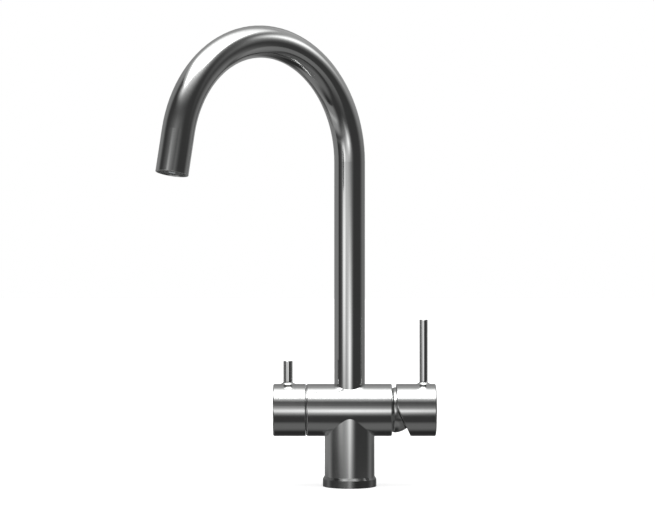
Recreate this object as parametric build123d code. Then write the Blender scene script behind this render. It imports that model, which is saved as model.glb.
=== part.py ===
"""Three way filtered water tap: swan-neck spout, filtered-water knob and single-lever mixer.

Millimetres. The origin is on the axis of the column at the worktop, +Z is up, +X points along the
barrel to the mixer handle and -Y to the person using the tap. The spout is drawn turned to the left.
"""

from build123d import *
import os
from math import asin, cos, degrees, pi, radians, sin, sqrt, tan

# --- Foot and column -------------------------------------------------------------------------
column_d = 45.5
column_wall = 3.75
column_roof_drop = 27.0  # from the barrel's axis down to the top of the hollow in the column
flange_over = 1.65  # how far the flange stands out from the column
flange_h = 8.9
flange_bevel_h = 2.2
flange_lip = 0.35  # flat left between the flange's bevel and the column
flange_floor = 2.5  # flange material under the column's foot
gasket_w = 2.2
gasket_h = 1.6
gasket_edge = 1.0  # from the flange's rim to the gasket

# --- Barrel ----------------------------------------------------------------------------------
barrel_d = 47.4
barrel_z = 69.0
barrel_half = 38.4  # lengths along the barrel are counted outwards from the column's axis
filter_end = 38.7  # the barrel reaches this far on the side of the filter knob
barrel_edge = 1.2
groove_edge = 0.8  # roundings on both sides of the groove at the filter knob
close_fit = 0.05  # radial clearance of bushes, plugs and shafts in their holes
face_gap = 0.05  # between flat faces that turn or slide on each other
rim_gap = 0.3  # between the turning knob and the ring beside it
past = 1.0  # how far a cutting shape runs on past the face that it opens

# --- Hose ports and waterways ----------------------------------------------------------------
block_h = 14.5
hose_port_r = 4.6
hose_port_depth = 8.0
stud_hole_r = 3.4
stud_hole_depth = 9.0
stud_hole_inset = 5.95  # from the inside of the column to the axis of a stud hole
supply_x = 9.5  # hot and cold ports and risers
supply_y = 6.5
filtered_x = -11.0
riser_d = 7.0
riser_bore_d = 5.0
riser_grip = 3.0  # length of riser held in each of its seats
waterway_r = 2.2
elbow_drop = 10.0  # from the spout's socket down to the elbows of the rising waterways

# --- Spout -----------------------------------------------------------------------------------
spout_d = 28.0
spout_wall = 1.0
spout_heading = 224.0  # degrees from +X, seen from above
bend_start_z = 294.0
bend_radius = 102.0
bend_angle = 169.0
tail_length = 36.3
mouth_edge = 0.3
socket_drop = 7.5  # from the barrel's axis down to the floor of the spout's socket
hub_floor_gap = 0.3
hub_step = 0.4  # the hub's lands are this much smaller in radius than the spout
hub_groove_depth = 1.6
hub_land = 0.6
hub_plug_length = 14.0  # length of the hub inside the spout tube
mixed_groove_h = 4.8
mixed_port_r = 2.3
hub_way_r = 1.8
hub_way_pitch_r = 7.9
hub_ways = 6
o_ring_d = 1.9
slide_ring_h = 1.6
screw_d = 5.0
screw_length = 7.5
screw_tip_gap = 0.35
screw_edge = 0.3
hex_key_r = 1.25
hex_key_depth = 2.5
filtered_tube_d = 6.0
filtered_tube_wall = 1.0

# --- Mouth of the spout ----------------------------------------------------------------------
aerator_length = 12.0
aerator_wall = 1.3
aerator_recess = 0.6
insert_length = 7.0
insert_recess = 0.9
insert_hole_r = 0.75
insert_row_step = 2.2
insert_rows = 3
insert_hole_pitch = 2.3

# --- Filtered-water valve and knob -------------------------------------------------------------
valve_depth = 18.7  # from the end of the barrel in to the valve's seat
valve_d = 24.0
valve_waist_start = 4.0  # from the seat
valve_waist_w = 7.0
valve_waist_depth = 2.5
valve_collar_over = 3.0
valve_collar_w = 3.6
valve_neck_d = 18.0
valve_neck_w = 3.7
valve_port_r = 2.0
valve_disc_d = 15.0
valve_disc_w = 3.0
valve_seal_w = 2.6
valve_seal_bore_d = 9.0
valve_way_offset = 3.7
valve_way_r = 2.2
valve_foot_w = 3.0
trim_ring_step = 0.7  # the ring lies this much below the barrel
trim_ring_w = 0.8
knob_length = 29.6
knob_wall = 4.3
knob_end_w = 4.5
knob_edge = 1.2
knob_hub_d = 17.0
knob_hub_gap = 1.5  # between the valve's neck and the hub inside the knob
stem_d = 8.0
square_side = 5.6
square_length = 11.5
square_gap = 0.05
outlet_y = 10.0  # side of the valve's chamber where its outlet starts
outlet_drop = 9.5  # from the spout's socket down to the filtered waterway

# --- Mixer cartridge ---------------------------------------------------------------------------
pivot_out = 1.1  # centre of the ball and of the lever's tilt, outside the barrel's end
cartridge_depth = 21.5  # from that centre in to the cartridge's seat
cartridge_gap = 0.5
cartridge_wall = 2.2
cartridge_base_w = 2.5
cartridge_seal_w = 1.6
cartridge_seal_rim = 1.1
cartridge_port_r = 2.6
disc_w = 2.5
disc_margin = 2.5
driver_w = 4.5
driver_d = 15.0
driver_floor = 0.4
socket_gap = 0.15
carrier_flange_w = 2.0
shoulder_w = 2.0
shoulder_step = 3.7
neck_wall = 1.7
neck_out = 5.5  # from the pivot out to the end of the cartridge's neck
carrier_out = 6.1
carrier_gap = 0.08
nut_out = 4.6  # from the barrel's end out to the end of the nut
nut_gap = 0.2
pivot_pin_d = 3.0
lever_range = 25.0
lever_share = 0.665  # width of the square lever as a share of the carrier's radius
lever_grip = 9.5  # length of the lever held in the handle
lever_tip_d = 4.8
lever_arm_d = 3.8
slot_gap = 0.1

# --- Ball cover and mixer handle ---------------------------------------------------------------
ball_step = 3.0  # the ball is this much smaller in radius than the barrel
ball_wall = 2.0
ball_ledge = 0.7
ball_foot_r = 4.0  # rounding by which the ball draws in towards the barrel's end
ball_foot_w = 3.4  # from the barrel's end out to where that rounding starts
ball_mouth_margin = 7.0  # degrees between the tilted lever and the ball's mouth
handle_gap = 3.8  # from the barrel's end to the handle's straight rim
handle_length = 36.1
handle_edge = 1.2
handle_rim_edge = 1.0
handle_bore_gap = 0.6
handle_floor_gap = 0.3
cut_top_up = 4.5  # where the slanted cut would meet the straight rim, above the barrel's axis
cut_blend_r = 20.0

# --- Pin levers --------------------------------------------------------------------------------
filter_pin_d = 8.5
filter_pin_inset = 13.4  # from the outer end of the knob
filter_pin_length = 18.7
mixer_pin_d = 7.5
mixer_pin_inset = 11.1  # from the outer end of the handle
mixer_pin_length = 56.2
pin_edge = 0.2
collar_h = 2.1  # flared collars under both pins
collar_fillet = 4.0
collar_waist = 0.6  # the collar's rounding would end this far inside the pin's radius
collar_reach = 0.1  # how far off the collar an edge of its seam may start
stud_d = 5.0
mixer_stud_length = 8.0
grub_length = 6.0

# --- Derived sizes -----------------------------------------------------------------------------
column_r = column_d / 2
column_bore_r = column_r - column_wall
column_roof_z = barrel_z - column_roof_drop
flange_r = column_r + flange_over
stud_y = column_bore_r - stud_hole_inset
barrel_r = barrel_d / 2
barrel_top_z = barrel_z + barrel_r

spout_r = spout_d / 2
spout_bore_r = spout_r - spout_wall
socket_r = spout_r + close_fit
socket_floor_z = barrel_z - socket_drop
elbow_z = socket_floor_z - elbow_drop
outlet_z = socket_floor_z - outlet_drop
hub_r = spout_r - hub_step
hub_groove_r = hub_r - hub_groove_depth
hub_low_z = socket_floor_z + hub_floor_gap
o_ring_groove_h = o_ring_d + 2 * close_fit
screw_groove_h = screw_d + 2 * screw_tip_gap
slide_ring_low_z = hub_low_z + hub_land + slide_ring_h / 2
screw_z = slide_ring_low_z + slide_ring_h / 2 + hub_land + screw_groove_h / 2
lower_o_ring_z = screw_z + screw_groove_h / 2 + hub_land + o_ring_groove_h / 2
mixed_port_z = lower_o_ring_z + o_ring_groove_h / 2 + hub_land + mixed_groove_h / 2
upper_o_ring_z = mixed_port_z + mixed_groove_h / 2 + hub_land + o_ring_groove_h / 2
slide_ring_high_z = upper_o_ring_z + o_ring_groove_h / 2 + hub_land + slide_ring_h / 2
hub_shoulder_z = slide_ring_high_z + slide_ring_h / 2 + hub_land
hub_top_z = hub_shoulder_z + hub_plug_length

valve_seat_x = filter_end - valve_depth
valve_bore_r = valve_d / 2 + close_fit
valve_waist_x = valve_seat_x + valve_waist_start
valve_collar_x = filter_end + trim_ring_w
valve_neck_end = valve_collar_x + valve_collar_w + valve_neck_w
valve_disc_start = valve_seat_x + valve_seal_w
valve_moving_start = valve_disc_start + valve_disc_w + face_gap
valve_foot_start = valve_moving_start + valve_disc_w
valve_chamber_end = valve_foot_start + valve_foot_w + face_gap
knob_start = filter_end + trim_ring_w + rim_gap
knob_end = knob_start + knob_length
knob_hub_start = valve_neck_end + knob_hub_gap
square_start = knob_hub_start + knob_hub_gap
square_end = square_start + square_length
filter_pin_x = knob_end - filter_pin_inset

pivot_x = barrel_half + pivot_out
ball_r = barrel_r - ball_step
ball_inner_r = ball_r - ball_wall
cartridge_bore_r = ball_inner_r - ball_ledge
cartridge_r = cartridge_bore_r - cartridge_gap
cartridge_inner_r = cartridge_r - cartridge_wall
cartridge_seat_x = pivot_x - cartridge_depth
base_start_x = cartridge_seat_x + face_gap
disc_start_x = base_start_x + cartridge_base_w
moving_start_x = disc_start_x + disc_w + face_gap
driver_start_x = moving_start_x + disc_w
driver_end_x = driver_start_x + driver_w
flange_start_x = driver_end_x + 2 * face_gap
shoulder_start_x = flange_start_x + carrier_flange_w + 2 * face_gap
shoulder_end_x = shoulder_start_x + shoulder_w
neck_r = cartridge_r - shoulder_step
neck_bore_r = neck_r - neck_wall
neck_end_x = pivot_x + neck_out
carrier_r = neck_bore_r - carrier_gap
carrier_end_x = pivot_x + carrier_out
lever_side = lever_share * carrier_r
nut_end_x = barrel_half + nut_out
tip_x = driver_start_x + driver_floor + socket_gap + lever_tip_d / 2
disc_travel = (pivot_x - tip_x) * sin(radians(lever_range))
disc_ratio = disc_travel / radians(lever_range)
disc_offset = -disc_travel / 2  # the disc rests on one side of the middle, and crosses to the other
moving_disc_r = cartridge_inner_r - disc_travel / 2 - disc_margin
lever_swing = lever_range + degrees(asin(lever_side / 2 / ball_inner_r)) + ball_mouth_margin
ball_mouth_r = ball_r * sin(radians(lever_swing))

handle_start_x = barrel_half + handle_gap
handle_end_x = handle_start_x + handle_length
handle_bore_r = ball_r + handle_bore_gap
handle_floor_x = pivot_x + ball_r + handle_floor_gap
lever_end_x = handle_floor_x + lever_grip
cut_top_z = barrel_z + cut_top_up
cut_angle = lever_range  # the slanted rim stands upright when the handle is fully tilted
mixer_pin_x = handle_end_x - mixer_pin_inset
collar_top_z = barrel_top_z + collar_h


# --- Building blocks -------------------------------------------------------------------------
def rod_x(start, end, radius, y=0.0, z=0.0):
    """Round bar along X, at y and z from the barrel's axis."""
    middle = (start + end) / 2
    return Pos(middle, y, barrel_z + z) * Rot(0, 90, 0) * Cylinder(radius, abs(end - start))


def ring_x(start, end, outer_r, inner_r):
    """Ring round the barrel's axis."""
    return rod_x(start, end, outer_r) - rod_x(start - past, end + past, inner_r)


def rod_z(low, high, radius, x=0.0, y=0.0):
    """Upright round bar."""
    return Pos(x, y, (low + high) / 2) * Cylinder(radius, high - low)


def ring_z(low, high, outer_r, inner_r, x=0.0, y=0.0):
    """Upright ring."""
    return rod_z(low, high, outer_r, x, y) - rod_z(low - past, high + past, inner_r, x, y)


def rod_between(start, end, radius):
    """Round bar from one point to another."""
    first = Vector(*start)
    last = Vector(*end)
    along = last - first
    middle = Plane(origin=(first + last) * 0.5, z_dir=along)
    return middle.location * Cylinder(radius, along.length)


def bar_x(start, end, width, height, z=0.0):
    """Square bar along X, centred on the barrel's axis."""
    return Pos((start + end) / 2, 0, barrel_z + z) * Box(abs(end - start), width, height)


def hex_pocket(depth, key_r):
    """Hexagon pocket for a key, sunk down from the plane z = 0."""
    return extrude(RegularPolygon(key_r, 6), amount=-depth)


def grub_screw(diameter, length):
    """Headless screw along Z with its key pocket at the top, standing on z = 0."""
    body = Pos(0, 0, length / 2) * Cylinder(diameter / 2, length)
    body = chamfer(body.edges().filter_by(GeomType.CIRCLE), screw_edge)
    return body - Pos(0, 0, length) * hex_pocket(hex_key_depth, hex_key_r)


def mirror_left(shape):
    """Carries a piece counted outwards along +X to the left of the barrel."""
    return mirror(shape, about=Plane.YZ)


# --- Foot ------------------------------------------------------------------------------------
def base_flange():
    outer_r = flange_r
    lip_r = column_r + flange_lip
    bevel_z = flange_h - flange_bevel_h
    profile = Polyline(
        (column_bore_r, 0),
        (outer_r - gasket_edge - gasket_w, 0),
        (outer_r - gasket_edge - gasket_w, gasket_h),
        (outer_r - gasket_edge, gasket_h),
        (outer_r - gasket_edge, 0),
        (outer_r, 0),
        (outer_r, bevel_z),
        (lip_r, flange_h),
        (column_r + close_fit, flange_h),
        (column_r + close_fit, flange_floor),
        (column_bore_r, flange_floor),
        close=True,
    )
    return revolve(Plane.XZ * make_face(profile), axis=Axis.Z)


def base_gasket():
    rim_r = flange_r - gasket_edge - close_fit
    return ring_z(0, gasket_h - close_fit, rim_r, rim_r - gasket_w + 2 * close_fit)


def port_places():
    """Axes of the hot, cold and filtered ports, as x and y."""
    return ((supply_x, -supply_y), (supply_x, supply_y), (filtered_x, 0))


def inlet_block():
    block = rod_z(0, block_h, column_bore_r - close_fit)
    for x, y in port_places():
        block -= rod_z(-past, hose_port_depth, hose_port_r, x, y)
        block -= rod_z(0, block_h + past, riser_bore_d / 2, x, y)
        block -= rod_z(block_h - riser_grip, block_h + past, riser_d / 2 + close_fit, x, y)
    for side in (-1, 1):
        block -= rod_z(-past, stud_hole_depth, stud_hole_r, 0, side * stud_y)
    return block


def riser(x, y):
    low = block_h - riser_grip
    high = column_roof_z + riser_grip
    return ring_z(low, high, riser_d / 2, riser_bore_d / 2, x, y)


# --- Body ------------------------------------------------------------------------------------
def riser_seat(x, y):
    """Counterbore in the column's roof that takes the top of a riser."""
    return rod_z(column_roof_z - past, column_roof_z + riser_grip, riser_d / 2 + close_fit, x, y)


def supply_waterways():
    """Drilled ways from the risers to the cartridge's seat, and the riser seats under them."""
    ways = []
    for y, z in cartridge_ports()[:2]:
        port = (cartridge_seat_x + past, y, barrel_z + z)
        ways.append(rod_z(column_roof_z - past, elbow_z, waterway_r, supply_x, y))
        ways.append(rod_between((supply_x, y, elbow_z - past), port, waterway_r))
        ways.append(riser_seat(supply_x, y))
    return ways


def filtered_waterways():
    """Ways from the filtered riser to the left valve, and from its chamber to the spout."""
    seat = (-valve_seat_x - past, 0, barrel_z - valve_way_offset)
    chamber_x = -(valve_waist_x + valve_waist_w / 2)
    chamber_z = barrel_z - sqrt(valve_bore_r**2 - outlet_y**2) + past
    return [
        rod_z(column_roof_z - past, elbow_z, waterway_r, filtered_x),
        riser_seat(filtered_x, 0),
        rod_between((filtered_x, 0, elbow_z - past), seat, waterway_r),
        rod_between((chamber_x, outlet_y, chamber_z), (0, 0, outlet_z), waterway_r),
        rod_z(outlet_z - waterway_r / 2, socket_floor_z + past, waterway_r),
    ]


def body_shell():
    barrel = rod_x(-filter_end, barrel_half, barrel_r)
    barrel = fillet(barrel.edges().filter_by(GeomType.CIRCLE).sort_by(Axis.X)[0], groove_edge)
    barrel = fillet(barrel.edges().filter_by(GeomType.CIRCLE).sort_by(Axis.X)[-1], barrel_edge)
    shell = rod_z(flange_floor, barrel_z, column_r) + barrel
    shell -= rod_z(0, column_roof_z, column_bore_r)
    shell -= rod_z(socket_floor_z, barrel_top_z + past, socket_r)
    shell -= rod_x(cartridge_seat_x, barrel_half + past, cartridge_bore_r)
    shell -= rod_x(-filter_end - past, -valve_seat_x, valve_bore_r)
    shell -= rod_x(0, cartridge_seat_x + past, mixed_port_r, z=mixed_port_z - barrel_z)
    for way in supply_waterways() + filtered_waterways():
        shell -= way
    shell -= rod_between((0, 0, screw_z), (0, barrel_r, screw_z), screw_d / 2 + close_fit)
    return shell


def spout_retaining_screw():
    """Headless screw in the back of the barrel. Its tip stands in the hub's lowest groove."""
    tip_y = hub_groove_r + screw_tip_gap
    place = Pos(0, tip_y, screw_z) * Rot(-90, 0, 0)
    return place * grub_screw(screw_d, screw_length)


# --- Spout -----------------------------------------------------------------------------------
def bend_point(turn):
    """Point of the bend's centre line, this many degrees on from the straight neck."""
    angle = radians(180 - turn)
    return Vector(bend_radius * (1 + cos(angle)), 0, bend_start_z + bend_radius * sin(angle))


def tail_direction():
    """Direction of the flow in the plane of the bend."""
    angle = radians(180 - bend_angle)
    return Vector(sin(angle), 0, -cos(angle))


def tail_point(distance):
    """Point of the straight tail's centre line, this far on from the bend."""
    return bend_point(bend_angle) + tail_direction() * distance


def spout_path(foot_z, tail):
    """Centre line of the swan neck in the plane of its bend, from a foot on the axis."""
    neck = Line((0, 0, foot_z), bend_point(0))
    bend = ThreePointArc(bend_point(0), bend_point(bend_angle / 2), bend_point(bend_angle))
    return Wire([neck, bend, Line(bend_point(bend_angle), tail_point(tail))])


def turned(shape):
    """Turns a piece of the spout from the plane of its bend to the heading it is drawn at."""
    return Rot(0, 0, spout_heading) * shape


def swept_tube(foot_z, tail, outer_r, inner_r):
    path = spout_path(foot_z, tail)
    start = Pos(0, 0, foot_z)
    section = start * (Circle(outer_r) - Circle(inner_r))
    return sweep(section, path=path)


def at_mouth(shape):
    """Places a piece drawn with the mouth at z = 0 and the inside of the spout above it."""
    place = Plane(origin=tail_point(tail_length), x_dir=(0, 1, 0), z_dir=-tail_direction())
    return turned(place.location * shape)


def spout_tube():
    tube = swept_tube(hub_shoulder_z, tail_length, spout_r, spout_bore_r)
    rims = tube.edges().filter_by(GeomType.CIRCLE).sort_by_distance(tail_point(tail_length))[:2]
    return turned(fillet(rims, mouth_edge))


def spout_hub():
    """Turned brass foot with its seal grooves, six ways for mixed water and one for filtered."""
    hub = rod_z(hub_low_z, hub_shoulder_z, hub_r)
    hub += rod_z(hub_shoulder_z, hub_top_z, spout_bore_r - close_fit)
    grooves = [
        (slide_ring_low_z, slide_ring_h),
        (screw_z, screw_groove_h),
        (lower_o_ring_z, o_ring_groove_h),
        (mixed_port_z, mixed_groove_h),
        (upper_o_ring_z, o_ring_groove_h),
        (slide_ring_high_z, slide_ring_h),
    ]
    for middle, height in grooves:
        hub -= ring_z(middle - height / 2, middle + height / 2, spout_r, hub_groove_r)
    way_middle_z = (mixed_port_z + hub_top_z) / 2
    for place in PolarLocations(hub_way_pitch_r, hub_ways):
        upright = Cylinder(hub_way_r, hub_top_z - mixed_port_z)
        inlet = Rot(0, 90, 0) * Cylinder(hub_way_r, 2 * (spout_r - hub_way_pitch_r))
        hub -= Pos(0, 0, way_middle_z) * place * upright
        hub -= Pos(0, 0, mixed_port_z) * place * inlet
    return hub - rod_z(hub_low_z - past, hub_top_z + past, filtered_tube_d / 2 + close_fit)


def spout_seals():
    """Two O-rings on the hub, one each side of the mixed-water groove."""
    ring_r = o_ring_d / 2 - close_fit / 2
    centre_r = hub_groove_r + close_fit + ring_r
    rings = [Pos(0, 0, z) * Torus(centre_r, ring_r) for z in (lower_o_ring_z, upper_o_ring_z)]
    return Compound(rings)


def spout_slide_rings():
    """Two plastic rings that keep the hub off the metal of the barrel."""
    half = slide_ring_h / 2 - close_fit
    inner_r = hub_groove_r + close_fit
    rings = [ring_z(z - half, z + half, spout_r, inner_r) for z in (slide_ring_low_z, slide_ring_high_z)]
    return Compound(rings)


def filtered_water_tube():
    """Thin tube that keeps filtered water apart all the way to the mouth."""
    outer_r = filtered_tube_d / 2
    tube = swept_tube(hub_low_z, tail_length - insert_recess, outer_r, outer_r - filtered_tube_wall)
    return turned(tube)


def mouth_bar(start, end, radius):
    """Round bar on the axis of the mouth, from one depth inside it to another."""
    return Pos(0, 0, (start + end) / 2) * Cylinder(radius, end - start)


def aerator_housing():
    inner_end = aerator_recess + aerator_length
    outer_r = spout_bore_r - close_fit
    ring = mouth_bar(aerator_recess, inner_end, outer_r)
    ring = chamfer(ring.edges().filter_by(GeomType.CIRCLE).sort_by(Axis.Z)[0], aerator_wall / 3)
    return at_mouth(ring - mouth_bar(0, inner_end + past, outer_r - aerator_wall))


def aerator_insert():
    """Disc with rings of fine holes round the filtered-water tube."""
    inner_end = insert_recess + insert_length
    outer_r = spout_bore_r - 2 * close_fit - aerator_wall
    disc = mouth_bar(insert_recess, inner_end, outer_r)
    disc -= mouth_bar(0, inner_end + past, filtered_tube_d / 2 + close_fit)
    hole = mouth_bar(0, inner_end + past, insert_hole_r)
    for row in range(insert_rows):
        row_r = filtered_tube_d / 2 + insert_row_step * (row + 1)
        count = round(2 * pi * row_r / insert_hole_pitch)
        disc -= [place * hole for place in PolarLocations(row_r, count)]
    return at_mouth(disc)


# --- Filtered-water valve and knob -------------------------------------------------------------
def filter_trim_ring():
    ring = ring_x(filter_end, filter_end + trim_ring_w, barrel_r - trim_ring_step, valve_bore_r)
    return mirror_left(ring)


def filter_valve_body():
    """Brass headwork: chamber for the discs, ported waist, collar and neck for the stem."""
    valve_r = valve_d / 2
    waist_end = valve_waist_x + valve_waist_w
    body = rod_x(valve_seat_x + face_gap, valve_collar_x, valve_r)
    body -= ring_x(valve_waist_x, waist_end, valve_d, valve_r - valve_waist_depth)
    body += rod_x(valve_collar_x, valve_collar_x + valve_collar_w, valve_r + valve_collar_over)
    body += rod_x(valve_collar_x, valve_neck_end, valve_neck_d / 2)
    body -= rod_x(0, valve_chamber_end, valve_disc_d / 2 + close_fit)
    body -= rod_x(0, valve_neck_end + past, stem_d / 2 + close_fit)
    port_middle = Pos(valve_waist_x + valve_waist_w / 2, 0, barrel_z)
    for turn in (45, 135, 225, 315):
        body -= port_middle * Rot(turn, 0, 0) * Pos(0, 0, valve_r / 2) * Cylinder(valve_port_r, valve_r)
    return mirror_left(body)


def filter_valve_seal():
    start = valve_seat_x + face_gap
    return mirror_left(ring_x(start, valve_disc_start, valve_disc_d / 2, valve_seal_bore_d / 2))


def valve_disc(start):
    """Ceramic disc with a pair of openings."""
    disc = rod_x(start, start + valve_disc_w, valve_disc_d / 2)
    for side in (-1, 1):
        disc -= rod_x(start - past, start + valve_disc_w + past, valve_way_r, z=side * valve_way_offset)
    return disc


def filter_disc_fixed():
    return mirror_left(valve_disc(valve_disc_start))


def filter_disc_moving():
    """The moving disc is drawn a quarter turn from the fixed one, which is shut."""
    disc = valve_disc(valve_moving_start)
    return mirror_left(disc.rotate(Axis((0, 0, barrel_z), (1, 0, 0)), 90))


def filter_valve_spindle():
    foot = rod_x(valve_foot_start, valve_foot_start + valve_foot_w, valve_disc_d / 2 - close_fit)
    stem = rod_x(valve_foot_start, square_start, stem_d / 2)
    square = bar_x(square_start, square_end, square_side, square_side)
    return mirror_left(foot + stem + square)


def pin_collar(radius_at_top, x):
    """Upright stub whose foot is later blended into the sleeve that it stands on."""
    return rod_z(barrel_z, barrel_top_z + 2 * collar_fillet, radius_at_top, x)


def with_collar(sleeve, pin_d, x):
    """Adds the flared collar for a pin lever to a solid round sleeve."""
    collar_r = pin_d / 2 - collar_waist
    joined = sleeve + pin_collar(collar_r, x)
    seam = [
        edge
        for edge in joined.edges()
        if edge.geom_type not in (GeomType.LINE, GeomType.CIRCLE)
        and abs((edge @ 0.0).X - x) <= collar_r + collar_reach
        and (edge @ 0.0).Z > barrel_z
    ]
    joined = fillet(seam, collar_fillet)
    return joined - rod_z(collar_top_z, collar_top_z + barrel_d, barrel_d, x)


def filter_knob():
    sleeve = rod_x(knob_start, knob_end, barrel_r)
    sleeve = fillet(sleeve.edges().filter_by(GeomType.CIRCLE).sort_by(Axis.X)[0], groove_edge)
    sleeve = fillet(sleeve.edges().filter_by(GeomType.CIRCLE).sort_by(Axis.X)[-1], knob_edge)
    knob = with_collar(sleeve, filter_pin_d, filter_pin_x)
    knob -= rod_x(knob_start - past, knob_end - knob_end_w, barrel_r - knob_wall)
    knob += rod_x(knob_hub_start, knob_end - knob_end_w, knob_hub_d / 2)
    side = square_side + 2 * square_gap
    knob -= bar_x(knob_hub_start - past, square_end + square_gap, side, side)
    knob -= rod_x(knob_hub_start - past, square_start + square_gap, stem_d / 2 + close_fit)
    knob -= rod_z(barrel_top_z - knob_wall - past, collar_top_z + past, stud_d / 2 + close_fit, filter_pin_x)
    grub_hole_r = screw_d / 2 + close_fit
    knob -= rod_z(barrel_z - barrel_r - past, barrel_z - square_side / 2, grub_hole_r, filter_pin_x)
    return mirror_left(knob)


def pin_lever(diameter, x, length, stud_length):
    """Straight round lever with a threaded stud under its shoulder."""
    pin = rod_z(collar_top_z, collar_top_z + length, diameter / 2, x)
    pin = chamfer(pin.edges().filter_by(GeomType.CIRCLE), pin_edge)
    return pin + rod_z(collar_top_z - stud_length, collar_top_z + past, stud_d / 2, x)


def filter_lever_pin():
    stud_length = collar_h + knob_wall
    return mirror_left(pin_lever(filter_pin_d, filter_pin_x, filter_pin_length, stud_length))


def filter_grub_screw():
    """Presses the square of the spindle from below."""
    top = barrel_z - square_side / 2 - square_gap
    return mirror_left(Pos(filter_pin_x, 0, top) * Rot(180, 0, 0) * grub_screw(screw_d, grub_length))


# --- Mixer cartridge ---------------------------------------------------------------------------
def cartridge_ports():
    """Places of the hot, cold and mixed ports on the cartridge's base, as y and z from the axis."""
    mixed_up = mixed_port_z - barrel_z
    supply_down = sqrt(mixed_up**2 + supply_y**2) / 2
    return ((-supply_y, -supply_down), (supply_y, -supply_down), (0, mixed_up))


def with_ports(disc, start, end, radius):
    for y, z in cartridge_ports():
        disc -= rod_x(start, end, radius, y, z)
    return disc


def cartridge_base():
    base = rod_x(base_start_x, disc_start_x, cartridge_r)
    base = with_ports(base, base_start_x - past, disc_start_x + past, cartridge_port_r)
    seal_end = base_start_x + cartridge_seal_w
    return with_ports(base, base_start_x - past, seal_end, cartridge_port_r + cartridge_seal_rim)


def cartridge_seals():
    """Three rubber rings in the base, one round each port."""
    seals = []
    end = base_start_x + cartridge_seal_w - close_fit
    for y, z in cartridge_ports():
        outer_r = cartridge_port_r + cartridge_seal_rim - close_fit
        seal = rod_x(cartridge_seat_x, end, outer_r, y, z)
        seals.append(seal - rod_x(cartridge_seat_x - past, end + past, cartridge_port_r, y, z))
    return Compound(seals)


def cartridge_disc_fixed():
    end = disc_start_x + disc_w
    disc = rod_x(disc_start_x, end, cartridge_inner_r - close_fit)
    return with_ports(disc, disc_start_x - past, end + past, cartridge_port_r)


def cartridge_disc_moving():
    """Polished disc with one hollow that joins the ports as it slides and turns."""
    disc = rod_x(moving_start_x, driver_start_x, moving_disc_r, z=disc_offset)
    hollow = rod_x(moving_start_x - past, moving_start_x + disc_w / 2, moving_disc_r / 2, z=disc_offset)
    return disc - hollow


def cartridge_disc_driver():
    """Plastic carrier of the moving disc, with the round socket for the lever's tip."""
    block = rod_x(driver_start_x, driver_end_x, driver_d / 2, z=disc_offset)
    floor = driver_start_x + driver_floor
    return block - rod_x(floor, driver_end_x + past, lever_tip_d / 2 + socket_gap)


def cartridge_housing():
    outer = rod_x(disc_start_x, shoulder_end_x, cartridge_r)
    outer += rod_x(shoulder_start_x, neck_end_x, neck_r)
    outer -= rod_x(disc_start_x - past, shoulder_start_x, cartridge_inner_r)
    return outer - rod_x(shoulder_start_x - past, neck_end_x + past, neck_bore_r)


def lever_slot(start, end):
    """Room for the lever's swing in the carrier, the same on both sides of its axis."""
    reach = max(pivot_x - start, end - pivot_x)
    half = reach * tan(radians(lever_range)) + lever_side / 2 / cos(radians(lever_range)) + slot_gap
    return bar_x(start - past, end + past, lever_side + 2 * slot_gap, 2 * half)


def pivot_bar(radius, length):
    """Round bar across the barrel on the lever's pivot."""
    return Pos(pivot_x, 0, barrel_z) * Rot(90, 0, 0) * Cylinder(radius, length)


def cartridge_carrier():
    """Turns in the cartridge's neck and holds the pivot pin of the lever."""
    carrier = rod_x(flange_start_x, flange_start_x + carrier_flange_w, cartridge_inner_r - close_fit)
    carrier += rod_x(flange_start_x, carrier_end_x, carrier_r)
    carrier -= lever_slot(flange_start_x, carrier_end_x)
    return carrier - pivot_bar(pivot_pin_d / 2 + close_fit / 2, 4 * carrier_r)


def cartridge_pivot_pin():
    length = 2 * sqrt(carrier_r**2 - (pivot_pin_d / 2) ** 2) - 2 * close_fit
    return pivot_bar(pivot_pin_d / 2, length)


def mixer_spindle():
    """Lever of the cartridge: ball tip, thin arm, pivot eye and square end."""
    eye = pivot_bar(lever_side / 2, lever_side)
    arm = rod_x(tip_x, pivot_x, lever_arm_d / 2)
    tip = Pos(tip_x, 0, barrel_z) * Sphere(lever_tip_d / 2)
    square = bar_x(pivot_x, lever_end_x, lever_side, lever_side)
    return eye + arm + tip + square - pivot_bar(pivot_pin_d / 2 + close_fit, 2 * lever_side)


def cartridge_nut():
    """Ring nut that clamps the cartridge's shoulder. Its outer half carries the ball cover."""
    nut = rod_x(shoulder_end_x, nut_end_x, cartridge_bore_r - close_fit)
    return nut - rod_x(shoulder_end_x - past, nut_end_x + past, neck_r + nut_gap)


# --- Ball cover and mixer handle ---------------------------------------------------------------
def ball_point(radius, height):
    """Point of a circle round the pivot, at a height from the barrel's axis, on its outer side."""
    return (pivot_x + sqrt(radius**2 - height**2), height)


def ball_foot():
    """Arc that draws the ball's outside in towards the barrel's end, from the end outwards."""
    start_x = barrel_half + ball_foot_w
    start = Vector(start_x, sqrt(ball_r**2 - (start_x - pivot_x) ** 2))
    inwards = Vector(pivot_x, 0) - start
    centre = start + inwards * (ball_foot_r / ball_r)
    foot = Vector(barrel_half, centre.Y + sqrt(ball_foot_r**2 - (centre.X - barrel_half) ** 2))
    middle = centre + ((foot + start) * 0.5 - centre).normalized() * ball_foot_r
    return ThreePointArc(foot, middle, start)


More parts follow.
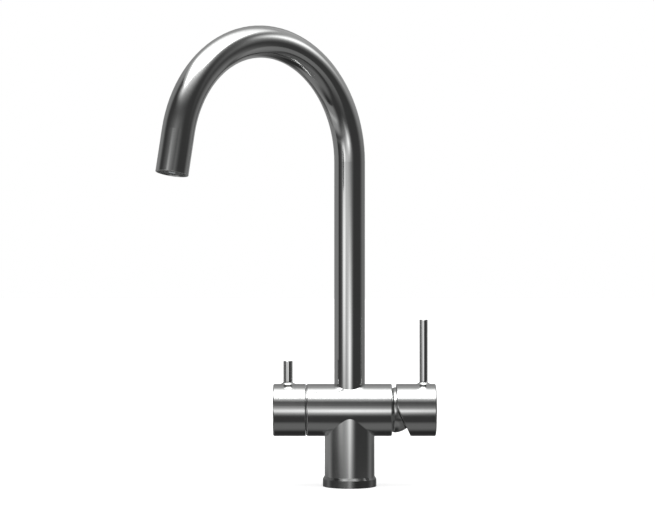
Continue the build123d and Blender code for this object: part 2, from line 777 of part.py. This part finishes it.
def ball_cover():
    """Dome screwed on the nut: its rim stands on the barrel's end, its mouth lets the lever tilt."""
    foot = ball_foot()
    outer_end = ball_point(ball_r, ball_mouth_r)
    inner_start = ball_point(ball_inner_r, ball_mouth_r)
    inner_end = ball_point(ball_inner_r, cartridge_bore_r)
    outer_middle = ball_point(ball_r, ball_r * cos(radians(lever_range)))
    inner_middle = ball_point(ball_inner_r, (ball_mouth_r + cartridge_bore_r) / 2)
    outline = [
        foot,
        ThreePointArc(foot @ 1, outer_middle, outer_end),
        Line(outer_end, inner_start),
        ThreePointArc(inner_start, inner_middle, inner_end),
        Line(inner_end, (barrel_half, cartridge_bore_r)),
        Line((barrel_half, cartridge_bore_r), foot @ 0),
    ]
    return Pos(0, 0, barrel_z) * revolve(Plane.XZ * make_face(Wire(outline)), axis=Axis.X)


def slanted_cut():
    """Everything left of the handle's rim: straight above, slanted below, with a blend between."""
    corner = (handle_start_x, cut_top_z)
    reach = 2 * barrel_d
    lean = tan(radians(cut_angle))
    outline = Polyline(
        (handle_start_x - reach, cut_top_z + reach),
        (handle_start_x, cut_top_z + reach),
        corner,
        (handle_start_x + reach * lean, cut_top_z - reach),
        (handle_start_x - reach, cut_top_z - reach),
        close=True,
    )
    face = make_face(outline)
    rim_corner = face.vertices().sort_by_distance((handle_start_x, cut_top_z, 0))[0]
    face = fillet(rim_corner, cut_blend_r)
    return extrude(Plane.XZ * face, amount=barrel_d, both=True)


def mixer_handle():
    handle = rod_x(handle_start_x - past, handle_end_x, barrel_r)
    outer_end = handle.edges().filter_by(GeomType.CIRCLE).sort_by(Axis.X)[-1]
    handle = fillet(outer_end, handle_edge)
    handle = with_collar(handle, mixer_pin_d, mixer_pin_x)
    handle -= slanted_cut()
    rim = handle.edges().filter_by(lambda edge: (edge @ 0.5).X < mixer_pin_x - mixer_pin_d)
    handle = fillet([edge for edge in rim if edge.geom_type != GeomType.LINE], handle_rim_edge)
    handle -= rod_x(handle_start_x - 2 * past, handle_floor_x, handle_bore_r)
    side = lever_side + 2 * square_gap
    handle -= bar_x(handle_floor_x - past, lever_end_x + square_gap, side, side)
    stud_floor_z = collar_top_z - mixer_stud_length - square_gap
    handle -= rod_z(stud_floor_z, collar_top_z + past, stud_d / 2 + close_fit, mixer_pin_x)
    grub_hole_r = screw_d / 2 + close_fit
    grub_x = (handle_floor_x + lever_end_x) / 2
    return handle - rod_z(barrel_z - barrel_r - past, barrel_z - lever_side / 2, grub_hole_r, grub_x)


def mixer_lever_pin():
    return pin_lever(mixer_pin_d, mixer_pin_x, mixer_pin_length, mixer_stud_length)


def mixer_grub_screw():
    """Presses the square of the lever from below."""
    top = barrel_z - lever_side / 2 - square_gap
    grub_x = (handle_floor_x + lever_end_x) / 2
    return Pos(grub_x, 0, top) * Rot(180, 0, 0) * grub_screw(screw_d, grub_length)


# --- Nodes -------------------------------------------------------------------------------------
hot_port, cold_port, filtered_port = port_places()
nodes = {
    "body_shell": body_shell(),
    "base_flange": base_flange(),
    "base_gasket": base_gasket(),
    "inlet_block": inlet_block(),
    "riser_hot": riser(*hot_port),
    "riser_cold": riser(*cold_port),
    "riser_filtered": riser(*filtered_port),
    "spout_retaining_screw": spout_retaining_screw(),
    "spout_tube": spout_tube(),
    "spout_hub": spout_hub(),
    "spout_seals": spout_seals(),
    "spout_slide_rings": spout_slide_rings(),
    "filtered_water_tube": filtered_water_tube(),
    "aerator_housing": aerator_housing(),
    "aerator_insert": aerator_insert(),
    "filter_trim_ring": filter_trim_ring(),
    "filter_valve_body": filter_valve_body(),
    "filter_valve_seal": filter_valve_seal(),
    "filter_disc_fixed": filter_disc_fixed(),
    "filter_disc_moving": filter_disc_moving(),
    "filter_valve_spindle": filter_valve_spindle(),
    "filter_knob": filter_knob(),
    "filter_lever_pin": filter_lever_pin(),
    "filter_grub_screw": filter_grub_screw(),
    "cartridge_base": cartridge_base(),
    "cartridge_seals": cartridge_seals(),
    "cartridge_disc_fixed": cartridge_disc_fixed(),
    "cartridge_disc_moving": cartridge_disc_moving(),
    "cartridge_disc_driver": cartridge_disc_driver(),
    "cartridge_housing": cartridge_housing(),
    "cartridge_carrier": cartridge_carrier(),
    "cartridge_pivot_pin": cartridge_pivot_pin(),
    "mixer_spindle": mixer_spindle(),
    "cartridge_nut": cartridge_nut(),
    "ball_cover": ball_cover(),
    "mixer_handle": mixer_handle(),
    "mixer_lever_pin": mixer_lever_pin(),
    "mixer_grub_screw": mixer_grub_screw(),
}

os.makedirs("parts", exist_ok=True)
for name, shape in nodes.items():
    export_step(shape, f"parts/{name}.step")

mouth = tail_point(tail_length)
print(f"pieces {len(nodes)}, spout reach {mouth.X:.1f}, mouth height {mouth.Z:.1f}")
print(f"disc travel {disc_travel:.3f} mm, ratio {disc_ratio / 1000:.6f} m per radian")
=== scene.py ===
from math import cos, pi, radians, sin

import bpy
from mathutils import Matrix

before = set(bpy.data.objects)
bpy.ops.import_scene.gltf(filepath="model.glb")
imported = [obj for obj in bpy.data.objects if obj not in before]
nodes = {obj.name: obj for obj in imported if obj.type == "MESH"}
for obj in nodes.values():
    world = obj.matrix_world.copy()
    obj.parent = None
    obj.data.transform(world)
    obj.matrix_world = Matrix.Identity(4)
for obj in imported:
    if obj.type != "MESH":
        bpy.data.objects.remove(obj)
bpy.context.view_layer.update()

# ---------------------------------------------------------------- sizes in metres
barrel_height = 0.069
barrel_radius = 0.0237
barrel_margin = 0.0002  # faces up to this far off the barrel's surface take its lines
arch_heading = radians(224)
arch_radius = 0.102
arch_start = 0.294

camera_place = (-0.0201, -1.839, 0.2089)
camera_lens = 111.2
camera_sensor = 36.0

studio_radius = 1.2
studio_height = 1.7
studio_depth = 1.2
studio_sides = 96

floor_reach = 8.0
floor_drop = 0.0002

lamp_place = (-0.02, -0.20, 1.6)
lamp_width = 1.75
lamp_depth = 1.45
lamp_power = 20.7

# sockets of a Mix node: first, second and result, for colours and for vectors
mix_colour = (6, 7, 2)
mix_vector = (4, 5, 1)

white_light = (1, 1, 1, 1)


# ---------------------------------------------------------------- node helpers
class Graph:
    """A short way to add nodes to a material or the world."""

    def __init__(self, tree):
        self.tree = tree
        tree.nodes.clear()

    def add(self, kind, inputs=None, **settings):
        node = self.tree.nodes.new(kind)
        for key, value in settings.items():
            setattr(node, key, value)
        for key, value in (inputs or {}).items():
            if isinstance(value, bpy.types.NodeSocket):
                self.tree.links.new(value, node.inputs[key])
            else:
                node.inputs[key].default_value = value
        return node

    def math(self, operation, a, b=0.0):
        return self.add("ShaderNodeMath", {0: a, 1: b}, operation=operation).outputs[0]

    def parts(self, vector):
        """The x, y and z of a vector."""
        return self.add("ShaderNodeSeparateXYZ", {0: vector}).outputs

    def length(self, vector):
        return self.add("ShaderNodeVectorMath", {0: vector}, operation="LENGTH").outputs["Value"]

    def span(self, value, low, high, to_low=0.0, to_high=1.0):
        """Value from low..high becomes to_low..to_high, held at the ends."""
        inputs = {"Value": value, "From Min": low, "From Max": high, "To Min": to_low, "To Max": to_high}
        return self.add("ShaderNodeMapRange", inputs).outputs[0]

    def mix(self, share, a, b):
        return self.add("ShaderNodeMix", {"Factor": share, "A": a, "B": b}, data_type="FLOAT").outputs["Result"]

    def ramp(self, value, low, high, stops):
        """A grey level that follows stops, pairs of place and level, between low and high."""
        node = self.add("ShaderNodeValToRGB", {"Fac": self.span(value, low, high)})
        points = node.color_ramp.elements
        while len(points) < len(stops):
            points.new(0.5)
        for point, (place, level) in zip(points, stops):
            point.position = (place - low) / (high - low)
        for point, (place, level) in zip(points, stops):
            point.color = (level, level, level, 1)
        return node.outputs["Color"]

    def noise(self, vector, scale, detail, rough):
        inputs = {"Vector": vector, "Scale": scale, "Detail": detail, "Roughness": rough}
        return self.add("ShaderNodeTexNoise", inputs).outputs["Fac"]

    def stretched(self, vector, x, y, z):
        return self.add("ShaderNodeMapping", {"Vector": vector, "Scale": (x, y, z)}).outputs[0]

    def tinted(self, colour, tone):
        """The colour, made darker where tone is under 1."""
        first, second, result = mix_colour
        node = self.add("ShaderNodeMix", {"Factor": 1.0}, data_type="RGBA", blend_type="MULTIPLY")
        node.inputs[first].default_value = (*colour, 1)
        grey = self.add("ShaderNodeCombineColor", {0: tone, 1: tone, 2: tone}).outputs[0]
        self.tree.links.new(grey, node.inputs[second])
        return node.outputs[result]


def new_material(name):
    """A material with an empty graph, and the place on the object as its graph reads it."""
    material = bpy.data.materials.new(name)
    material.use_nodes = True
    graph = Graph(material.node_tree)
    place = graph.add("ShaderNodeTexCoord").outputs["Object"]
    return material, graph, place


# ---------------------------------------------------------------- lines in the steel
def grain_about(graph, place, axis):
    """Places in which polishing lines run round the given axis."""
    fine, long = 2600.0, 55.0
    scales = [fine if axis == other else long for other in "XYZ"]
    return graph.stretched(place, *scales)


def round_x(graph, place):
    return grain_about(graph, place, "X")


def round_z(graph, place):
    return grain_about(graph, place, "Z")


def round_body(graph, place):
    """Lines round the barrel, and round the column below it."""
    y, z = graph.parts(place)[1:]
    up = graph.math("SUBTRACT", z, barrel_height)
    off = graph.math("SQRT", graph.math("ADD", graph.math("MULTIPLY", y, y), graph.math("MULTIPLY", up, up)))
    inside = graph.math("LESS_THAN", off, barrel_radius + barrel_margin)
    first, second, result = mix_vector
    mix = graph.add("ShaderNodeMix", {"Factor": inside}, data_type="VECTOR")
    graph.tree.links.new(round_z(graph, place), mix.inputs[first])
    graph.tree.links.new(round_x(graph, place), mix.inputs[second])
    return mix.outputs[result]


def round_neck(graph, place):
    """Lines round the swan neck, up the neck and over its arch."""
    x, y, z = graph.parts(place)
    out = graph.math("ADD", graph.math("MULTIPLY", x, cos(arch_heading)),
                     graph.math("MULTIPLY", y, sin(arch_heading)))
    side = graph.math("SUBTRACT", graph.math("MULTIPLY", y, cos(arch_heading)),
                      graph.math("MULTIPLY", x, sin(arch_heading)))
    above = graph.math("SUBTRACT", z, arch_start)
    inward = graph.math("SUBTRACT", arch_radius, out)
    angle = graph.math("ARCTAN2", graph.math("MAXIMUM", above, 0.0), inward)
    along = graph.math("ADD", graph.math("MINIMUM", z, arch_start), graph.math("MULTIPLY", angle, arch_radius))
    from_centre = graph.add("ShaderNodeCombineXYZ", {0: inward, 1: above}).outputs[0]
    reach = graph.math("SUBTRACT", graph.length(from_centre), arch_radius)
    curved = graph.add("ShaderNodeCombineXYZ", {0: reach, 1: side, 2: along}).outputs[0]
    return grain_about(graph, curved, "Z")


# ---------------------------------------------------------------- materials
def finish(name, metallic, look):
    """A material from look(graph, place), which gives its colour, roughness and bump."""
    material, graph, place = new_material(name)
    colour, roughness, bump = look(graph, place)
    shader = graph.add("ShaderNodeBsdfPrincipled", {
        "Metallic": metallic, "Base Color": colour, "Roughness": roughness, "Normal": bump.outputs[0]})
    graph.add("ShaderNodeOutputMaterial", {"Surface": shader.outputs[0]})
    return material


def steel(name, lines, colour, smooth, rough, line_strength=0.35):
    """Polished stainless steel: fine turned lines, faint smears and a few rubbed patches."""
    cloud_scale = 38.0
    smear_scales = (90, 90, 24)
    line_share, cloud_share = 0.55, 0.45
    line_height = 0.000004
    darkest = 0.93
    rubbed_rougher = 0.03

    def look(graph, place):
        line = graph.noise(lines(graph, place), 1.0, 3.0, 0.6)
        cloud = graph.noise(place, cloud_scale, 4.0, 0.55)
        smear = graph.noise(graph.stretched(place, *smear_scales), 1.0, 5.0, 0.62)
        rubbed = graph.math("MULTIPLY", graph.span(smear, 0.52, 0.72), rubbed_rougher)
        uneven = graph.math("ADD", graph.math("MULTIPLY", line, line_share),
                            graph.math("MULTIPLY", cloud, cloud_share))
        roughness = graph.math("ADD", graph.span(uneven, 0.28, 0.72, smooth, rough), rubbed)
        tone = graph.span(uneven, 0.25, 0.75, darkest, 1.0)
        bump = graph.add("ShaderNodeBump", {"Strength": line_strength, "Distance": line_height, "Height": line})
        return graph.tinted(colour, tone), roughness, bump

    return finish(name, 1.0, look)


def plain_solid(name, colour, rough, metallic, scale, spread=0.12, speck_height=0.00002):
    """A rubber, plastic, ceramic or cast finish with a fine uneven surface."""
    cloud_scale = scale * 0.1
    darkest = 0.9
    smoothest = 0.04
    speck_strength = 0.4

    def look(graph, place):
        speck = graph.noise(place, scale, 4.0, 0.6)
        cloud = graph.noise(place, cloud_scale, 3.0, 0.5)
        tone = graph.span(cloud, 0.3, 0.7, darkest, 1.0)
        roughness = graph.span(speck, 0.3, 0.7, max(smoothest, rough - spread), rough + spread)
        bump = graph.add("ShaderNodeBump", {
            "Strength": speck_strength, "Distance": speck_height, "Height": speck})
        return graph.tinted(colour, tone), roughness, bump

    return finish(name, metallic, look)


steel_tone = (0.60, 0.605, 0.60)
bright_tone = (0.64, 0.645, 0.64)
# painted shade: a darker steel colour for the flange, for the dark low by the floor, and for the ring in the
# groove, for the shade in the recess
painted_shade_tone = (0.33, 0.333, 0.33)
screw_tone = (0.42, 0.42, 0.43)

# lines, colour, smoothest and roughest, and for one the strength of its lines
steels = {
    "steel_body": (round_body, steel_tone, 0.10, 0.15),
    "steel_round_x": (round_x, steel_tone, 0.10, 0.15),
    "steel_neck": (round_neck, steel_tone, 0.08, 0.13),
    # painted shade: the flange's steel is darker for the dark near the floor
    "steel_flange_painted_shade": (round_z, painted_shade_tone, 0.10, 0.16),
    "steel_pin": (round_z, steel_tone, 0.08, 0.13),
    # painted shade: the ring in the groove has a darker steel colour for the shade in the recess
    "steel_ring_painted_shade": (round_x, painted_shade_tone, 0.12, 0.20),
    "steel_bright": (round_x, bright_tone, 0.07, 0.12, 0.15),
    "steel_screw": (round_x, screw_tone, 0.28, 0.4),
}

# colour, roughness, metallic and scale of the specks, and for some the spread of the roughness and the
# height of the specks
plain_solids = {
    "brass": ((0.62, 0.47, 0.22), 0.3, 1.0, 500.0),
    "copper": ((0.72, 0.36, 0.22), 0.25, 1.0, 400.0),
    "ceramic": ((0.78, 0.77, 0.74), 0.25, 0.0, 800.0, 0.08),
    "rubber": ((0.018, 0.018, 0.018), 0.7, 0.0, 900.0, 0.12, 0.00004),
    "plastic_grey": ((0.34, 0.35, 0.35), 0.42, 0.0, 700.0),
    "plastic_dark": ((0.13, 0.135, 0.135), 0.42, 0.0, 700.0),
    "plastic_tube": ((0.72, 0.76, 0.78), 0.3, 0.0, 500.0),
}

finish_of = {
    "steel_body": ["body_shell"],
    "steel_round_x": ["filter_knob", "mixer_handle"],
    "steel_flange_painted_shade": ["base_flange"],
    "steel_ring_painted_shade": ["filter_trim_ring"],
    "steel_neck": ["spout_tube"],
    "steel_pin": ["filter_lever_pin", "mixer_lever_pin"],
    "steel_bright": ["ball_cover", "aerator_housing"],
    "steel_screw": ["filter_valve_body", "spout_retaining_screw", "filter_grub_screw", "mixer_grub_screw",
                    "mixer_spindle", "cartridge_pivot_pin"],
    "brass": ["inlet_block", "spout_hub", "filter_valve_spindle", "cartridge_nut"],
    "copper": ["riser_hot", "riser_cold", "riser_filtered"],
    "ceramic": ["filter_disc_fixed", "filter_disc_moving", "cartridge_disc_fixed", "cartridge_disc_moving"],
    "rubber": ["base_gasket", "spout_seals", "filter_valve_seal", "cartridge_seals"],
    "plastic_grey": ["spout_slide_rings", "cartridge_base", "cartridge_disc_driver", "cartridge_housing",
                     "cartridge_carrier"],
    "plastic_dark": ["aerator_insert"],
    "plastic_tube": ["filtered_water_tube"],
}

finishes = {name: steel(name, *values) for name, values in steels.items()}
finishes.update({name: plain_solid(name, *values) for name, values in plain_solids.items()})
for finish_name, node_names in finish_of.items():
    for node_name in node_names:
        for holder in nodes[node_name].material_slots:
            holder.material = finishes[finish_name]


# ---------------------------------------------------------------- studio lights
gain = 1.65  # makes a card of level 1 look white in the steel

# soft lights on the round wall: bearing in degrees, half width and softness, then height in metres, half
# height and softness, and level
wall_base = 0.034
wall_lights = [
    ("left_box", -42, 10.3, 6.9, 0.19, 0.16, 0.15, 0.63),
    ("left_wing", -21, 17.9, 38.4, 0.26, 0.05, 0.81, 1.09),
    ("front_low", 1, 6.1, 18.8, 0.06, 0.10, 0.20, 1.40),
    ("right_window", 98, 13.5, 11.2, 1.03, 0.14, 0.31, 1.37),
    ("right_glow", 113, 40.0, 17.1, 1.23, 0.70, 0.20, 0.11),
    ("front_top", 5, 46.9, 25.9, 1.92, 0.13, 0.99, 1.38),
    ("left_top", -43, 17.6, 18.4, 1.74, 0.37, 0.22, 0.44),
    ("back_top", 173, 70, 16, 1.59, 0.46, 0.12, 0.07),
    ("back_left", -151, 57.4, 13.2, 1.15, 1.45, 0.23, 0.155),
    ("back_right", 130, 33.0, 17.6, 0.60, 1.37, 0.62, 0.11),
    ("left_low", -75, 26, 18, -0.43, 0.22, 0.12, 0.22),
    ("left_floor", -97, 57, 20, -0.92, 0.42, 0.12, 0.17),
    ("right_floor", 72, 33.6, 35.0, -0.51, 0.33, 0.07, 0.11),
    ("front_floor", 0, 4.0, 9.7, -0.17, 0.05, 0.22, 0.40),
    ("left_strip", -34, 6.0, 4.0, 0.60, 0.05, 0.09, 0.27),
    ("left_step", -73, 20.0, 10.0, -0.03, 0.03, 0.03, 0.055),
    # a level below 0 takes light away: beside the strip, and low down for the foot of the column
    ("front_shade", -9, 13.0, 8.0, 0.60, 0.06, 0.08, -0.09),
    ("foot_shade", -26, 34.0, 12.0, -0.13, 0.02, 0.045, -0.085),
    ("left_foot_shade", -140, 26.0, 10.0, -0.15, 0.03, 0.015, -0.12),
    ("right_foot_shade", 140, 22.0, 10.0, -0.12, 0.06, 0.03, -0.08),
]

# soft lights on the lid and the pit: x, half width and softness, y, half depth and softness, in metres, and
# level. The lid has a bright light and a glow round it, the pit dim patches for the undersides.
lid_base = 0.30
lid_lights = [
    ("lid_glow", -0.02, 0.95, 0.20, -0.27, 0.85, 0.33, 0.72),
    ("lid_core", -0.02, 0.80, 0.10, -0.42, 0.54, 0.12, 2.60),
]
pit_base = 0.02
pit_lights = [
    ("pit_front", 0.0, 0.50, 0.35, -0.42, 0.55, 0.35, 0.10),
    ("pit_left", -0.80, 0.55, 0.15, 0.90, 0.90, 0.45, 0.15),
    ("pit_right", 0.85, 0.45, 0.12, 0.20, 0.90, 0.30, 0.06),
]

world_level = 0.5

# distance from the column's axis and glow of the floor there, which is white further out
floor_stops = [(0.0, 0.70), (0.1, 0.74), (0.3, 0.91), (0.6, 1.0)]
floor_colour = (0.55, 0.55, 0.55, 1)
floor_roughness = 0.6


def bearing(graph, x, y):
    """Degrees round the object: 0 towards the camera, 90 to its right, 180 behind."""
    return graph.math("MULTIPLY", graph.math("ARCTAN2", x, graph.math("MULTIPLY", y, -1.0)), 180 / pi)


def soft_band(graph, value, centre, half, soft, round_circle=False):
    """1 within half of the centre and 0 outside, with an edge twice soft wide."""
    off = graph.math("SUBTRACT", value, centre)
    if round_circle:
        off = graph.add("ShaderNodeMath", {0: off, 1: 180.0, 2: -180.0}, operation="WRAP").outputs[0]
    inputs = {"Value": graph.math("ABSOLUTE", off), "From Min": half - soft, "From Max": half + soft,
              "To Min": 1.0, "To Max": 0.0}
    return graph.add("ShaderNodeMapRange", inputs, interpolation_type="SMOOTHSTEP").outputs[0]


def summed(graph, base, bands):
    """Adds up lights, each a level and the bands that it is limited to."""
    total = base
    for light, *limits in bands:
        for limit in limits:
            light = graph.math("MULTIPLY", light, limit)
        total = graph.math("ADD", total, light)
    return graph.math("MULTIPLY", total, gain)


def wall_level(graph, place):
    x, y, z = graph.parts(place)
    turn = bearing(graph, x, y)
    return summed(graph, wall_base, [
        (level, soft_band(graph, turn, centre, half, soft, True), soft_band(graph, z, height, tall, fade))
        for name, centre, half, soft, height, tall, fade, level in wall_lights])


def flat_level(graph, place, base, lights):
    x, y = graph.parts(place)[:2]
    return summed(graph, base, [
        (level, soft_band(graph, x, across, half, soft), soft_band(graph, y, along, deep, fade))
        for name, across, half, soft, along, deep, fade, level in lights])


def lid_level(graph, place):
    return flat_level(graph, place, lid_base, lid_lights)


def pit_level(graph, place):
    return flat_level(graph, place, pit_base, pit_lights)


# ---------------------------------------------------------------- stage
def mesh_object(name, points, faces, material):
    mesh = bpy.data.meshes.new(name)
    mesh.from_pydata(points, [], faces)
    mesh.update()
    mesh.materials.append(material)
    made = bpy.data.objects.new(name, mesh)
    bpy.context.scene.collection.objects.link(made)
    return made


def seen_rays(graph):
    """1 for rays from the camera and for those off metal or through glass, which show a white background."""
    path = graph.add("ShaderNodeLightPath").outputs
    direct = graph.math("MAXIMUM", path["Is Camera Ray"], path["Is Glossy Ray"])
    return graph.math("MAXIMUM", direct, path["Is Transmission Ray"])


def studio_card(name, points, faces, level):
    """A white card whose light level(graph, place) gives. Only the object's reflections show it."""
    material, graph, place = new_material(name + "_light")
    glow = graph.add("ShaderNodeEmission", {"Color": white_light, "Strength": level(graph, place)})
    graph.add("ShaderNodeOutputMaterial", {"Surface": glow.outputs[0]})
    card = mesh_object(name, points, faces, material)
    card.visible_camera = False
    card.visible_diffuse = False
    card.visible_transmission = False
    card.visible_volume_scatter = False
    card.visible_shadow = False


def ring_points(height):
    turns = [2 * pi * i / studio_sides for i in range(studio_sides)]
    return [(studio_radius * sin(turn), -studio_radius * cos(turn), height) for turn in turns]


def pale_floor():
    """A white floor that keeps the object's shadow."""
    material, graph, place = new_material("floor_pale")
    white = graph.ramp(graph.length(place), 0.0, floor_stops[-1][0], floor_stops)
    pale = graph.add("ShaderNodeBsdfDiffuse", {"Color": floor_colour, "Roughness": floor_roughness})
    lift = graph.add("ShaderNodeEmission", {
        "Color": white_light, "Strength": graph.math("MULTIPLY", seen_rays(graph), white)})
    both = graph.add("ShaderNodeAddShader", {0: pale.outputs[0], 1: lift.outputs[0]})
    graph.add("ShaderNodeOutputMaterial", {"Surface": both.outputs[0]})
    corners = [(-1, -1), (1, -1), (1, 1), (-1, 1)]
    points = [(floor_reach * x, floor_reach * y, -floor_drop) for x, y in corners]
    floor = mesh_object("floor", points, [(0, 1, 2, 3)], material)
    floor.visible_glossy = False


def white_world():
    world = bpy.data.worlds.new("studio_world")
    world.use_nodes = True
    bpy.context.scene.world = world
    graph = Graph(world.node_tree)
    level = graph.mix(seen_rays(graph), world_level, 1.0)
    sky = graph.add("ShaderNodeBackground", {"Color": white_light, "Strength": level})
    graph.add("ShaderNodeOutputWorld", {"Surface": sky.outputs[0]})


def overhead_lamp():
    """Lights what isn't steel, and the floor round the object. Reflections show the lid's light instead."""
    data = bpy.data.lights.new("lamp_overhead", "AREA")
    data.shape = "RECTANGLE"
    data.size = lamp_width
    data.size_y = lamp_depth
    data.energy = lamp_power
    lamp = bpy.data.objects.new("lamp_overhead", data)
    lamp.location = lamp_place
    lamp.visible_glossy = False
    bpy.context.scene.collection.objects.link(lamp)


def front_camera():
    data = bpy.data.cameras.new("camera")
    data.lens = camera_lens
    data.sensor_width = camera_sensor
    camera = bpy.data.objects.new("camera", data)
    camera.location = camera_place
    camera.rotation_euler = (radians(90), 0, 0)
    bpy.context.scene.collection.objects.link(camera)
    bpy.context.scene.camera = camera


low_ring = ring_points(-studio_depth)
high_ring = ring_points(studio_height)
wall_faces = [(i, (i + 1) % studio_sides, studio_sides + (i + 1) % studio_sides, studio_sides + i)
              for i in range(studio_sides)]
flat_face = [tuple(range(studio_sides))]
studio_card("studio_wall", low_ring + high_ring, wall_faces, wall_level)
studio_card("studio_lid", high_ring, flat_face, lid_level)
studio_card("studio_pit", low_ring, flat_face, pit_level)
pale_floor()
white_world()
overhead_lamp()
front_camera()
bpy.context.scene.view_settings.view_transform = "Standard"
